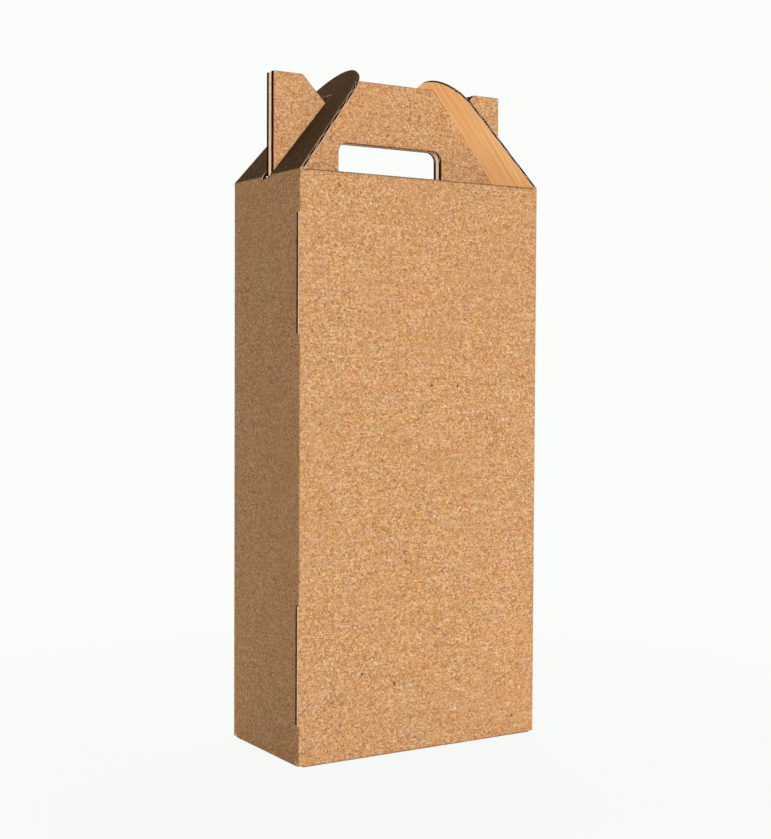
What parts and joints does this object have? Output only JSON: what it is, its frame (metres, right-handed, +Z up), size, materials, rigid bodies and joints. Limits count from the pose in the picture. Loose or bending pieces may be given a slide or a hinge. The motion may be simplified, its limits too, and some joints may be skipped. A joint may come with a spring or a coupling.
{
  "type": "wine bottle carry box",
  "caption": "Tall corrugated carry carton for wine bottles, with a flat roof, a double upright handle with a hand hole, and slotted side flaps that lock over the horns of the handle.",
  "frame": {"origin": "middle of the base, on the surface that the carton stands on", "axes": "+Z up, the wide front wall faces -Y, +X to the right as seen from the front"},
  "size_m": [0.1684, 0.085, 0.4072],
  "materials": {
    "kraft_board": "speckled recycled kraft paper, matte"
  },
  "bodies": {
    "body": {"carton": "kraft_board", "front_top_panel": "kraft_board", "back_top_panel": "kraft_board"},
    "left_flap": {"left_lock_flap": "kraft_board"},
    "right_flap": {"right_lock_flap": "kraft_board"}
  },
  "joints": [
    {"name": "left_flap_crease", "type": "hinge", "parent": "body", "child": "left_flap", "pos_m": [-0.0825, 0, 0.3397], "axis": [0, -1, 0], "range_deg": [0, 130]},
    {"name": "right_flap_crease", "type": "hinge", "parent": "body", "child": "right_flap", "pos_m": [0.0825, 0, 0.3397], "axis": [0, 1, 0], "range_deg": [0, 130]}
  ]
}
